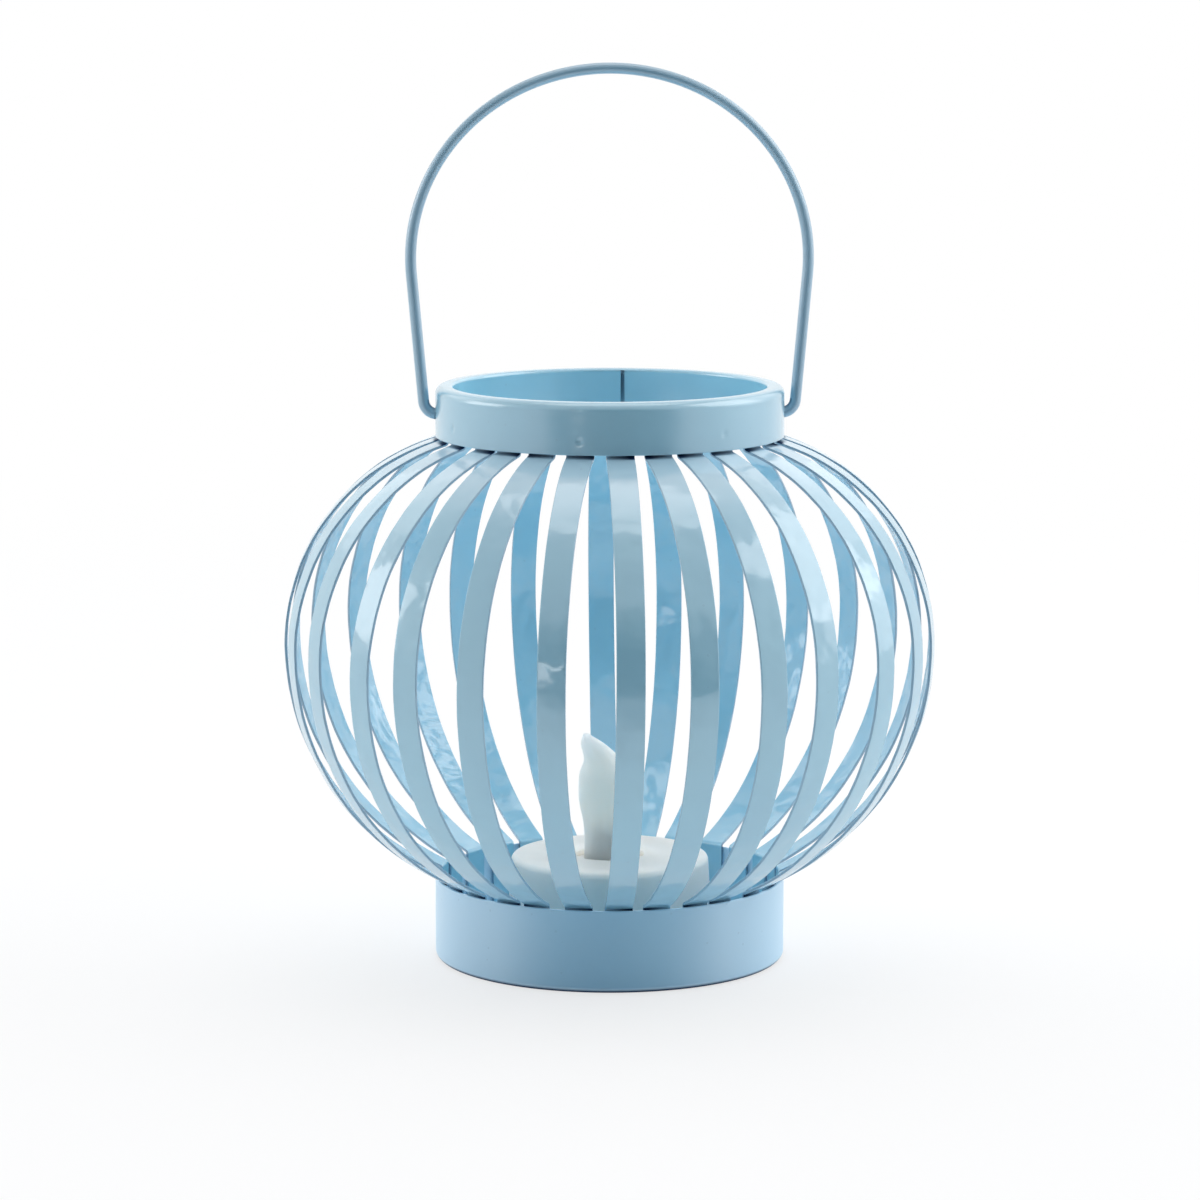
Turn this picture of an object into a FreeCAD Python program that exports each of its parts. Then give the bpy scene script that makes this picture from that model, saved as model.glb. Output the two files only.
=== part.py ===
import FreeCAD, Part

import math
import os

from FreeCAD import Vector

# A small bulb-shaped lantern of painted steel strips with a wire bail and a battery tealight inside.
# Millimetres. The origin is the middle of the foot, +Z is up, -Y is the front.
# +X runs along the axis that the bail swings on.

# Overall sizes of the lantern body
BODY_HEIGHT = 101.6
BODY_DIAMETER = 114.3
SHEET = 0.5

# Collar: a channel ring whose rim is rounded outside and bent tighter inside, with an outer skirt and a
# shorter inner skirt. The seam starts a little below the rim's top.
COLLAR_DIAMETER = 61.0
COLLAR_HEIGHT = 8.9
COLLAR_RIM_WIDTH = 3.1
COLLAR_RIM_ROUND = 1.45
COLLAR_RIM_CORNER = 0.6
COLLAR_INNER_DEPTH = 7.0
COLLAR_SEAM_WIDTH = 0.7
COLLAR_SEAM_TOP = 0.3
COLLAR_SEAM_AZIMUTH = 172.5

# Base cup: a drawn cup that the ribs stand in
CUP_DIAMETER = 61.8
CUP_HEIGHT = 14.5
CUP_CORNER = 1.2

# Ribs: flat strips bent in two tangent arcs, with an upright tab at each end.
# Each bend starts a small gap clear of the edge of the wall that the tab lies in.
RIB_COUNT = 28
RIB_WIDTH = 4.8
RIB_THICKNESS = 0.5
RIB_UPPER_RADIUS = 37.6
RIB_BEND = 0.25
RIB_SEAT_GAP = 0.02
RIB_COLLAR_GAP = 0.06
RIB_CUP_GAP = 0.15
RIB_RIM_GAP = 1.3
RIB_FLOOR_GAP = 4.0
# How far each hand-set rib stands off its even place, in degrees, from the front rib round by +X
RIB_DRIFT = (
    0.7, 0.4, 0.0, -1.6, 1.0, 0.6, 0.2, 0.0, -1.2, -2.2, -2.0, -2.0, -0.8, -1.2,
    -1.0, 1.0, 0.8, -0.3, 0.7, 1.0, 0.4, 0.0, -0.8, -0.6, 1.4, -0.5, -0.8, 0.5,
)

# Bail: one bent wire that swings in the collar
BAIL_WIRE = 1.95
BAIL_RISE = 55.85
BAIL_SPLAY = 2.3
BAIL_FOOT_CLEARANCE = 0.05
BAIL_FOOT_BEND = 1.75
BAIL_PIVOT_DROP = 5.0
BAIL_PIN_INSIDE = 1.2
PIVOT_CLEARANCE = 0.1

# Tealight shell: a white cup, open below, that stands loose on the floor of the base cup
TEALIGHT_HEIGHT = 17.6
TEALIGHT_FOOT_DIAMETER = 37.0
TEALIGHT_TOP_DIAMETER = 34.8
TEALIGHT_WALL = 1.0
TEALIGHT_TOP_THICKNESS = 1.2
TEALIGHT_EDGE = 1.1
WELL_DIAMETER = 12.0
WELL_DEPTH = 1.0

# Flame: height above the well floor, lean to -X and half width of its sections from the foot to the tip
FLAME_SECTIONS = (
    (0.0, 0.0, 4.6),
    (3.7, 0.0, 4.5),
    (7.4, 0.0, 4.75),
    (11.1, 0.1, 5.3),
    (14.8, 0.5, 4.75),
    (18.5, 1.6, 3.3),
    (22.2, 4.0, 0.7),
)
FLAME_DEPTH_SHARE = 0.86
FLAME_WALL_OVER_LED = 0.4

# Light-emitting diode
LED_DIAMETER = 5.0
LED_FLANGE_DIAMETER = 5.8
LED_FLANGE_HEIGHT = 1.0
LED_LENGTH = 8.6
LED_SEAT_GAP = 0.1
LED_HOLE_CLEARANCE = 0.15
LEAD_DIAMETER = 0.5
LEAD_PITCH = 2.54
LEAD_BEND = 1.0

# Base plate of the tealight, set up inside the shell so that the switch knob stays off the floor
PLATE_RECESS = 1.0
PLATE_THICKNESS = 1.2
PLATE_FIT = 0.1
PLATE_RIM = 1.2

# Coin cell, and the twist cap that carries it
CELL_DIAMETER = 20.0
CELL_HEIGHT = 3.2
CELL_LID_DIAMETER = 17.2
CELL_LID_STEP = 0.3
CELL_FIT = 0.15
CAP_WALL = 0.6
CAP_FLOOR = 1.0
CAP_WALL_BELOW_LID = 0.9
CAP_CLEARANCE = 0.2
CAP_LUG_REACH = 1.05
CAP_LUG_HEIGHT = 0.6
CAP_LUG_GAP = 0.15
CAP_LUG_ANGLE = 24.0
CAP_LUG_AZIMUTH = 110.0
CAP_TURN = 35.0
CAP_NOTCH_MARGIN = 1.5
COIN_SLOT_LENGTH = 13.0
COIN_SLOT_WIDTH = 1.8
COIN_SLOT_DEPTH = 0.6

# Slide switch
SWITCH_FROM_CAP = 0.55
SWITCH_TRAVEL = 2.5
KNOB_LENGTH = 3.0
KNOB_WIDTH = 2.4
KNOB_STANDOFF = 0.25
SWITCH_CLEARANCE = 0.2
CARRIAGE_LENGTH = 5.2
CARRIAGE_WIDTH = 4.0
CARRIAGE_HEIGHT = 1.2
CARRIAGE_LIFT = 0.1
SWITCH_POST = 1.8
SWITCH_POST_HEIGHT = 3.0
RAIL_WIDTH = 0.5
RAIL_HEIGHT = 1.8

# Spring contacts
CONTACT_SHEET = 0.3
CONTACT_GAP = 0.05
MINUS_WIDTH = 4.0
MINUS_REACH = 3.0
MINUS_POST_DEPTH = 1.4
MINUS_POST_GAP = 0.3
PLUS_WIDTH = 0.9
PLUS_SHOULDER_AZIMUTH = 40.0
PLUS_POST = 2.4
BRIDGE_LENGTH = 2.8
BRIDGE_WIDTH = 1.6
BRIDGE_GAP = 0.1

# Places worked out from the sizes above
body_radius = BODY_DIAMETER / 2
collar_radius = COLLAR_DIAMETER / 2
collar_bottom = BODY_HEIGHT - COLLAR_HEIGHT
collar_bore = collar_radius - COLLAR_RIM_WIDTH
collar_rim_base = BODY_HEIGHT - COLLAR_RIM_ROUND
cup_radius = CUP_DIAMETER / 2
cup_inside = cup_radius - SHEET
pivot_height = BODY_HEIGHT - BAIL_PIVOT_DROP
pivot_hole_radius = BAIL_WIRE / 2 + PIVOT_CLEARANCE
UP = Vector(0, 0, 1)
ORIGIN = Vector(0, 0, 0)


def at(r, z):
    """A point of a section that stands in the XZ plane."""
    return Vector(r, 0, z)


def closed_face(*edges):
    """The plane face inside edges that follow one another."""
    return Part.Face(Part.Wire(edges))


def line(a, b):
    return Part.LineSegment(a, b).toShape()


def arc(a, middle, b):
    return Part.Arc(a, middle, b).toShape()


def quarter(centre, radius, first, last):
    """A quarter of a circle of the XZ plane about a centre, between two angles from +X towards +Z."""
    angles = [math.radians(angle) for angle in (first, (first + last) / 2, last)]
    return arc(*[centre + at(radius * math.cos(angle), radius * math.sin(angle)) for angle in angles])


def turned(face):
    """A face of the XZ plane turned once about Z."""
    return face.revolve(ORIGIN, UP, 360)


def turned_outline(points):
    """A closed outline of straight sides, turned once about Z."""
    corners = [at(r, z) for r, z in points]
    return turned(Part.Face(Part.makePolygon(corners + corners[:1])))


def block(x, y, z):
    """A box between two limits on each axis."""
    return Part.makeBox(x[1] - x[0], y[1] - y[0], z[1] - z[0], Vector(x[0], y[0], z[0]))


def sector(radius, bottom, height, middle, angle):
    """A slice of a cylinder about Z, angle wide, its middle at an angle from +X."""
    slice_shape = Part.makeCylinder(radius, height, Vector(0, 0, bottom), UP, angle)
    slice_shape.rotate(ORIGIN, UP, middle - angle / 2)
    return slice_shape


def swept(edges, radius):
    """A round wire along edges that meet on a tangent."""
    path = Part.Wire(edges)
    start = edges[0].valueAt(edges[0].FirstParameter)
    along = edges[0].tangentAt(edges[0].FirstParameter)
    ring = Part.Wire(Part.makeCircle(radius, start, along))
    return path.makePipeShell([ring], True, True)


def one_solid(shape):
    """The single solid that a cut or a fuse leaves."""
    solids = shape.removeSplitter().Solids
    assert len(solids) == 1, f"{len(solids)} solids where one was meant"
    return solids[0]


def pivot_bore():
    """The straight hole that both ends of the bail turn in."""
    reach = 2 * collar_radius
    return Part.makeCylinder(pivot_hole_radius, 2 * reach, Vector(-reach, 0, pivot_height), Vector(1, 0, 0))


def make_collar():
    """The channel ring: outer skirt, rim, inner skirt with its open seam, and two pivot holes."""
    inner_bottom = BODY_HEIGHT - COLLAR_INNER_DEPTH
    outside = collar_radius
    inside = collar_radius - SHEET
    bore = collar_bore
    bore_back = collar_bore + SHEET
    under = BODY_HEIGHT - SHEET
    rounded = at(collar_radius - COLLAR_RIM_ROUND, collar_rim_base)
    corner = at(collar_bore + COLLAR_RIM_CORNER, BODY_HEIGHT - COLLAR_RIM_CORNER)
    face = closed_face(
        line(at(outside, collar_bottom), at(outside, rounded.z)),
        quarter(rounded, COLLAR_RIM_ROUND, 0, 90),
        line(at(rounded.x, BODY_HEIGHT), at(corner.x, BODY_HEIGHT)),
        quarter(corner, COLLAR_RIM_CORNER, 90, 180),
        line(at(bore, corner.z), at(bore, inner_bottom)),
        line(at(bore, inner_bottom), at(bore_back, inner_bottom)),
        line(at(bore_back, inner_bottom), at(bore_back, corner.z)),
        quarter(corner, COLLAR_RIM_CORNER - SHEET, 180, 90),
        line(at(corner.x, under), at(rounded.x, under)),
        quarter(rounded, COLLAR_RIM_ROUND - SHEET, 90, 0),
        line(at(inside, rounded.z), at(inside, collar_bottom)),
        line(at(inside, collar_bottom), at(outside, collar_bottom)),
    )
    half_seam = COLLAR_SEAM_WIDTH / 2
    seam = block(
        (-half_seam, half_seam),
        (-rounded.x, COLLAR_RIM_WIDTH - bore),
        (collar_bottom, BODY_HEIGHT - COLLAR_SEAM_TOP),
    )
    seam.rotate(ORIGIN, UP, COLLAR_SEAM_AZIMUTH)
    return one_solid(turned(face).cut(seam).cut(pivot_bore()))


def make_base_cup():
    """The drawn cup with its flat floor and rounded lower edge."""
    corner = at(cup_radius - CUP_CORNER, CUP_CORNER)
    return turned(closed_face(
        line(at(0, 0), at(corner.x, 0)),
        quarter(corner, CUP_CORNER, -90, 0),
        line(at(cup_radius, CUP_CORNER), at(cup_radius, CUP_HEIGHT)),
        line(at(cup_radius, CUP_HEIGHT), at(cup_inside, CUP_HEIGHT)),
        line(at(cup_inside, CUP_HEIGHT), at(cup_inside, CUP_CORNER)),
        quarter(corner, CUP_CORNER - SHEET, 0, -90),
        line(at(corner.x, SHEET), at(0, SHEET)),
        line(at(0, SHEET), at(0, 0)),
    ))


def tab_radius(wall):
    """How far out a flat tab stands when its two corners seat in a round wall."""
    return math.sqrt((wall - RIB_SEAT_GAP) ** 2 - (RIB_WIDTH / 2) ** 2)


def lower_bow_radius(tab, bend_height, equator):
    """The radius of the lower bow that leaves the equator upright and meets the foot bend."""
    across = body_radius - tab - RIB_BEND
    down = equator - bend_height
    return (across ** 2 + down ** 2 - RIB_BEND ** 2) / (2 * (across + RIB_BEND))


def rib_lines(inset):
    """The points of a rib's section, on a line that lies inset inside its outer line, from the top tab down."""
    top_tab = tab_radius(collar_radius - SHEET)
    foot_tab = tab_radius(cup_inside)
    top_bend = collar_bottom - RIB_COLLAR_GAP
    foot_bend = CUP_HEIGHT + RIB_CUP_GAP
    across = top_tab + RIB_BEND - (body_radius - RIB_UPPER_RADIUS)
    equator = top_bend - math.sqrt((RIB_UPPER_RADIUS + RIB_BEND) ** 2 - across ** 2)
    lower_radius = lower_bow_radius(foot_tab, foot_bend, equator)
    upper_centre = at(body_radius - RIB_UPPER_RADIUS, equator)
    lower_centre = at(body_radius - lower_radius, equator)
    top_bend_centre = at(top_tab + RIB_BEND, top_bend)
    foot_bend_centre = at(foot_tab + RIB_BEND, foot_bend)

    def touch(bow_centre, bend_centre, bow_radius):
        return bow_centre + (bend_centre - bow_centre).normalize() * (bow_radius - inset)

    def halfway(centre, a, b):
        radius = (a - centre).Length
        return centre + ((a - centre) + (b - centre)).normalize() * radius

    tab_top = at(top_tab - inset, collar_rim_base - RIB_RIM_GAP)
    bend_top = at(top_tab - inset, top_bend)
    bow_top = touch(upper_centre, top_bend_centre, RIB_UPPER_RADIUS)
    widest = at(body_radius - inset, equator)
    bow_foot = touch(lower_centre, foot_bend_centre, lower_radius)
    bend_foot = at(foot_tab - inset, foot_bend)
    tab_foot = at(foot_tab - inset, SHEET + RIB_FLOOR_GAP)
    edges = [
        line(tab_top, bend_top),
        arc(bend_top, halfway(top_bend_centre, bend_top, bow_top), bow_top),
        arc(bow_top, halfway(upper_centre, bow_top, widest), widest),
        arc(widest, halfway(lower_centre, widest, bow_foot), bow_foot),
        arc(bow_foot, halfway(foot_bend_centre, bow_foot, bend_foot), bend_foot),
        line(bend_foot, tab_foot),
    ]
    return edges, tab_top, tab_foot


def make_rib(azimuth):
    """One strip: its section in the XZ plane, drawn out to the strip's width and set at its azimuth from -Y."""
    outer, outer_top, outer_foot = rib_lines(0)
    inner, inner_top, inner_foot = rib_lines(RIB_THICKNESS)
    face = closed_face(*outer, line(outer_foot, inner_foot), *inner[::-1], line(inner_top, outer_top))
    strip = face.extrude(Vector(0, RIB_WIDTH, 0))
    strip.translate(Vector(0, -RIB_WIDTH / 2, 0))
    strip.rotate(ORIGIN, UP, azimuth - 90)
    return one_solid(strip.cut(pivot_bore()))


def make_bail():
    """The wire: a round arch, two legs that lean in on a tangent, and an end turned in through the collar."""
    crown = BODY_HEIGHT + BAIL_RISE - BAIL_WIRE / 2
    foot = at(collar_radius + BAIL_FOOT_CLEARANCE + BAIL_FOOT_BEND, pivot_height)
    arch_radius = foot.x + BAIL_SPLAY
    centre = at(0, crown - arch_radius)
    away = foot - centre
    tangent_angle = math.atan2(away.z, away.x) + math.acos(arch_radius / away.Length)
    spring = centre + at(math.cos(tangent_angle), math.sin(tangent_angle)) * arch_radius
    up_leg = (spring - foot).normalize()
    half_turn = math.acos(-up_leg.x) / 2
    setback = BAIL_FOOT_BEND / math.tan(half_turn)
    leg_end = foot + up_leg * setback
    pin_start = foot - at(setback, 0)
    bend_centre = pin_start + UP * BAIL_FOOT_BEND
    bend_middle = bend_centre + (foot - bend_centre).normalize() * BAIL_FOOT_BEND
    pin_end = at(collar_bore - BAIL_PIN_INSIDE, pivot_height)

    def left(point):
        return Vector(-point.x, point.y, point.z)

    edges = [
        line(left(pin_end), left(pin_start)),
        arc(left(pin_start), left(bend_middle), left(leg_end)),
        line(left(leg_end), left(spring)),
        arc(left(spring), at(0, crown), spring),
        line(spring, leg_end),
        arc(leg_end, bend_middle, pin_start),
        line(pin_start, pin_end),
    ]
    return swept(edges, BAIL_WIRE / 2)


# Heights inside the tealight, worked out from the cup's floor up
tealight_floor = SHEET
tealight_top = tealight_floor + TEALIGHT_HEIGHT
well_floor = tealight_top - WELL_DEPTH
well_underside = well_floor - TEALIGHT_TOP_THICKNESS
plate_bottom = tealight_floor + PLATE_RECESS
plate_top = plate_bottom + PLATE_THICKNESS
cell_bottom = plate_bottom + CAP_FLOOR
cell_top = cell_bottom + CELL_HEIGHT
cell_shoulder = cell_top - CELL_LID_STEP
cap_inside = CELL_DIAMETER / 2 + CELL_FIT
cap_radius = cap_inside + CAP_WALL
lug_radius = cap_radius + CAP_LUG_REACH
notch_radius = lug_radius + CAP_CLEARANCE
led_base = well_underside - LED_SEAT_GAP - LED_FLANGE_HEIGHT
carriage_bottom = plate_top + CARRIAGE_LIFT
carriage_top = carriage_bottom + CARRIAGE_HEIGHT
bridge_bottom = carriage_top + SWITCH_POST_HEIGHT
bridge_top = bridge_bottom + CONTACT_SHEET
contact_height = bridge_top + BRIDGE_GAP
switch_off = -SWITCH_TRAVEL / 2
switch_on = SWITCH_TRAVEL / 2
minus_bottom = cell_top + CONTACT_GAP
minus_post = notch_radius + MINUS_POST_GAP
minus_side = (-LEAD_PITCH / 2 - MINUS_WIDTH / 2, -LEAD_PITCH / 2 + MINUS_WIDTH / 2)


def shell_radius(height, inset=0.0):
    """The shell's half width at a height above its foot, on a wall that lies inset inside it."""
    foot = TEALIGHT_FOOT_DIAMETER / 2
    top = TEALIGHT_TOP_DIAMETER / 2
    return foot + (top - foot) * height / TEALIGHT_HEIGHT - inset


# The plate's layout on X: the cell beside its -X rim, and then the switch between two rails
plate_radius = shell_radius(PLATE_RECESS + PLATE_THICKNESS, TEALIGHT_WALL + PLATE_FIT)
cap_hole_radius = cap_radius + CAP_CLEARANCE
cell_middle = Vector(-(plate_radius - PLATE_RIM - cap_hole_radius), 0, 0)
rail_face = CARRIAGE_LENGTH / 2 + SWITCH_CLEARANCE
switch_x = cell_middle.x + cap_hole_radius + SWITCH_FROM_CAP + RAIL_WIDTH + rail_face


def make_tealight_shell():
    """The white cup: a drawn-in wall, a flat top with a rounded edge and a well that the flame stands in."""
    under_top = tealight_top - TEALIGHT_TOP_THICKNESS
    well = WELL_DIAMETER / 2
    boss = well + TEALIGHT_WALL
    hole = LED_DIAMETER / 2 + LED_HOLE_CLEARANCE
    solid = turned_outline((
        (shell_radius(0, TEALIGHT_WALL), tealight_floor),
        (shell_radius(0), tealight_floor),
        (shell_radius(TEALIGHT_HEIGHT), tealight_top),
        (well, tealight_top),
        (well, well_floor),
        (hole, well_floor),
        (hole, well_underside),
        (boss, well_underside),
        (boss, under_top),
        (shell_radius(TEALIGHT_HEIGHT - TEALIGHT_TOP_THICKNESS, TEALIGHT_WALL), under_top),
    ))
    top_edge = [
        e for e in solid.Edges
        if abs(e.BoundBox.ZMin - tealight_top) < 1e-6
        and abs(e.BoundBox.ZMax - tealight_top) < 1e-6
        and e.BoundBox.XMax > TEALIGHT_TOP_DIAMETER / 2 - 1e-3
    ]
    return one_solid(solid.makeFillet(min(TEALIGHT_EDGE, 0.9 * TEALIGHT_TOP_THICKNESS), top_edge))


def plus_finger():
    """Where the plus contact's finger comes down on the can's shoulder."""
    radius = (CELL_DIAMETER + CELL_LID_DIAMETER) / 4
    angle = math.radians(PLUS_SHOULDER_AZIMUTH)
    return cell_middle + Vector(math.cos(angle), math.sin(angle), 0) * radius


def plus_post_limits():
    """The limits on X and Y of the post under the plus contact, beside the switch."""
    y = plus_finger().y
    return (switch_x - PLUS_POST / 2, switch_x + PLUS_POST / 2), (y - PLUS_POST / 2, y + PLUS_POST / 2)


def make_base_plate():
    """The tealight's floor: a hole with two notches for the cap, a slot, two rails and two posts."""
    plate = Part.makeCylinder(plate_radius, PLATE_THICKNESS, Vector(0, 0, plate_bottom))
    hole = Part.makeCylinder(cap_hole_radius, PLATE_THICKNESS, Vector(0, 0, plate_bottom))
    for half_turn in (0, 180):
        hole = hole.fuse(sector(
            notch_radius,
            plate_bottom,
            PLATE_THICKNESS,
            CAP_LUG_AZIMUTH - CAP_TURN + half_turn,
            CAP_LUG_ANGLE + 2 * CAP_NOTCH_MARGIN,
        ))
    hole.translate(cell_middle)
    half_knob = KNOB_LENGTH / 2 + SWITCH_CLEARANCE
    half_slot = (KNOB_WIDTH + SWITCH_TRAVEL) / 2 + SWITCH_CLEARANCE
    slot = block(
        (switch_x - half_knob, switch_x + half_knob),
        (-half_slot, half_slot),
        (plate_bottom, plate_top),
    )
    plate = plate.cut(hole).cut(slot)
    half_run = (CARRIAGE_WIDTH + SWITCH_TRAVEL) / 2 + SWITCH_CLEARANCE
    for inner, outer in ((rail_face, rail_face + RAIL_WIDTH), (-rail_face - RAIL_WIDTH, -rail_face)):
        plate = plate.fuse(block(
            (switch_x + inner, switch_x + outer),
            (-half_run, half_run),
            (plate_top - PLATE_THICKNESS / 2, plate_top + RAIL_HEIGHT),
        ))
    post_x, post_y = plus_post_limits()
    plate = plate.fuse(block(post_x, post_y, (plate_top - PLATE_THICKNESS / 2, contact_height)))
    plate = plate.fuse(block(
        minus_side,
        (minus_post, minus_post + MINUS_POST_DEPTH),
        (plate_top - PLATE_THICKNESS / 2, minus_bottom),
    ))
    return one_solid(plate)


def make_battery_cap():
    """The twist cap: a dish that holds the cell, two lugs above the base plate and a coin slot below."""
    wall_top = cell_top - CAP_WALL_BELOW_LID
    cap = turned_outline((
        (0, plate_bottom),
        (cap_radius, plate_bottom),
        (cap_radius, wall_top),
        (cap_inside, wall_top),
        (cap_inside, cell_bottom),
        (0, cell_bottom),
    ))
    lug_bottom = plate_top + CAP_LUG_GAP
    core = Part.makeCylinder(cap_inside, 2 * CAP_LUG_HEIGHT, Vector(0, 0, lug_bottom - CAP_LUG_HEIGHT / 2))
    for half_turn in (0, 180):
        lug = sector(lug_radius, lug_bottom, CAP_LUG_HEIGHT, CAP_LUG_AZIMUTH + half_turn, CAP_LUG_ANGLE)
        cap = cap.fuse(lug.cut(core))
    slot = block(
        (-COIN_SLOT_LENGTH / 2, COIN_SLOT_LENGTH / 2),
        (-COIN_SLOT_WIDTH / 2, COIN_SLOT_WIDTH / 2),
        (plate_bottom, plate_bottom + COIN_SLOT_DEPTH),
    )
    cap = cap.cut(slot)
    cap.translate(cell_middle)
    return one_solid(cap)


def make_coin_cell():
    """A lithium coin cell, its can below and its smaller lid on top."""
    cell = turned_outline((
        (0, cell_bottom),
        (CELL_DIAMETER / 2, cell_bottom),
        (CELL_DIAMETER / 2, cell_shoulder),
        (CELL_LID_DIAMETER / 2, cell_shoulder),
        (CELL_LID_DIAMETER / 2, cell_top),
        (0, cell_top),
    ))
    cell.translate(cell_middle)
    return one_solid(cell)


def make_led_bulb():
    """The diode's clear body: a flange, a straight barrel and a domed end."""
    barrel = LED_DIAMETER / 2
    flange_top = led_base + LED_FLANGE_HEIGHT
    dome_base = led_base + LED_LENGTH - barrel
    flange = LED_FLANGE_DIAMETER / 2
    knee = barrel * math.sqrt(0.5)
    return one_solid(turned(closed_face(
        line(at(0, led_base), at(flange, led_base)),
        line(at(flange, led_base), at(flange, flange_top)),
        line(at(flange, flange_top), at(barrel, flange_top)),
        line(at(barrel, flange_top), at(barrel, dome_base)),
        arc(at(barrel, dome_base), at(knee, dome_base + knee), at(0, dome_base + barrel)),
        line(at(0, dome_base + barrel), at(0, led_base)),
    )))


def make_led_leads():
    """Two wires: one straight down to the minus contact, one bent across to the switch."""
    radius = LEAD_DIAMETER / 2
    minus_top = minus_bottom + CONTACT_SHEET
    straight = Part.makeCylinder(radius, led_base - minus_top, Vector(-LEAD_PITCH / 2, 0, minus_top))
    top = Vector(LEAD_PITCH / 2, 0, led_base)
    corner = Vector(LEAD_PITCH / 2, 0, contact_height + radius)
    end = Vector(switch_x - BRIDGE_LENGTH / 2 + PLUS_WIDTH, switch_on, corner.z)
    run = (end - corner).normalize()
    before = corner + UP * LEAD_BEND
    after = corner + run * LEAD_BEND
    centre = before + run * LEAD_BEND
    middle = centre + (corner - centre).normalize() * LEAD_BEND
    bent = swept([line(top, before), arc(before, middle, after), line(after, end)], radius)
    return Part.makeCompound([straight, bent])


def make_contact_minus():
    """A flat strip from its post to the middle of the cell's lid, under the straight lead."""
    return block(
        minus_side,
        (-MINUS_REACH, minus_post + MINUS_POST_DEPTH),
        (minus_bottom, minus_bottom + CONTACT_SHEET),
    )


def make_contact_plus():
    """A strip on its post, with a finger down to the can's shoulder and an arm out to the switch."""
    finger = plus_finger()
    post_x, post_y = plus_post_limits()
    half = PLUS_WIDTH / 2
    top = contact_height + CONTACT_SHEET
    strip = block((finger.x, post_x[1]), (finger.y - half, finger.y + half), (contact_height, top))
    down = block(
        (finger.x, finger.x + CONTACT_SHEET),
        (finger.y - half, finger.y + half),
        (cell_shoulder + CONTACT_GAP, top),
    )
    arm_x = switch_x + BRIDGE_LENGTH / 2
    arm = block((arm_x - PLUS_WIDTH, arm_x), (switch_on - half, finger.y + half), (contact_height, top))
    return one_solid(strip.fuse(down).fuse(arm))


def make_switch_slider():
    """The sliding piece: a knob under the plate, a stem through the slot, a carriage and a post."""
    knob = block(
        (switch_x - KNOB_LENGTH / 2, switch_x + KNOB_LENGTH / 2),
        (switch_off - KNOB_WIDTH / 2, switch_off + KNOB_WIDTH / 2),
        (tealight_floor + KNOB_STANDOFF, carriage_bottom),
    )
    carriage = block(
        (switch_x - CARRIAGE_LENGTH / 2, switch_x + CARRIAGE_LENGTH / 2),
        (switch_off - CARRIAGE_WIDTH / 2, switch_off + CARRIAGE_WIDTH / 2),
        (carriage_bottom, carriage_top),
    )
    post = block(
        (switch_x - SWITCH_POST / 2, switch_x + SWITCH_POST / 2),
        (switch_off - SWITCH_POST / 2, switch_off + SWITCH_POST / 2),
        (carriage_top, bridge_bottom),
    )
    return one_solid(knob.fuse(carriage).fuse(post))


def make_switch_bridge():
    """The metal strip on the slider that joins the bent lead to the plus contact when it is on."""
    return block(
        (switch_x - BRIDGE_LENGTH / 2, switch_x + BRIDGE_LENGTH / 2),
        (switch_off - BRIDGE_WIDTH / 2, switch_off + BRIDGE_WIDTH / 2),
        (bridge_bottom, bridge_top),
    )


def make_flame_lens():
    """The moulded flame: a loft through ovals that lean over to -X, hollow below for the diode."""
    def oval(height, lean, half_width):
        middle = Vector(-lean, 0, well_floor + height)
        return Part.Wire(Part.Ellipse(middle, half_width, half_width * FLAME_DEPTH_SHARE).toShape())

    flame = Part.makeLoft([oval(*section) for section in FLAME_SECTIONS], True, False)
    room = LED_DIAMETER / 2 + FLAME_WALL_OVER_LED
    dome_base = led_base + LED_LENGTH - LED_DIAMETER / 2
    bore = Part.makeCylinder(room, dome_base - well_floor, Vector(0, 0, well_floor))
    dome = Part.makeSphere(room, Vector(0, 0, dome_base), UP, 0, 90)
    return one_solid(flame.cut(bore.fuse(dome)))


def main():
    os.makedirs("parts", exist_ok=True)
    pieces = {
        "collar": make_collar(),
        "base_cup": make_base_cup(),
        "bail_handle": make_bail(),
        "tealight_shell": make_tealight_shell(),
        "tealight_base_plate": make_base_plate(),
        "battery_cap": make_battery_cap(),
        "coin_cell": make_coin_cell(),
        "led_bulb": make_led_bulb(),
        "led_leads": make_led_leads(),
        "contact_minus": make_contact_minus(),
        "contact_plus": make_contact_plus(),
        "switch_slider": make_switch_slider(),
        "switch_bridge": make_switch_bridge(),
        "flame_lens": make_flame_lens(),
    }
    for place in range(RIB_COUNT):
        azimuth = place * 360 / RIB_COUNT + RIB_DRIFT[place % len(RIB_DRIFT)]
        pieces[f"rib_{place + 1:02d}"] = make_rib(azimuth)
    for name, shape in pieces.items():
        assert shape.isValid(), f"{name} is not a valid shape"
        shape.exportStep(f"parts/{name}.step")


if __name__ == "__main__":
    main()
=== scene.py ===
import math

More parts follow.
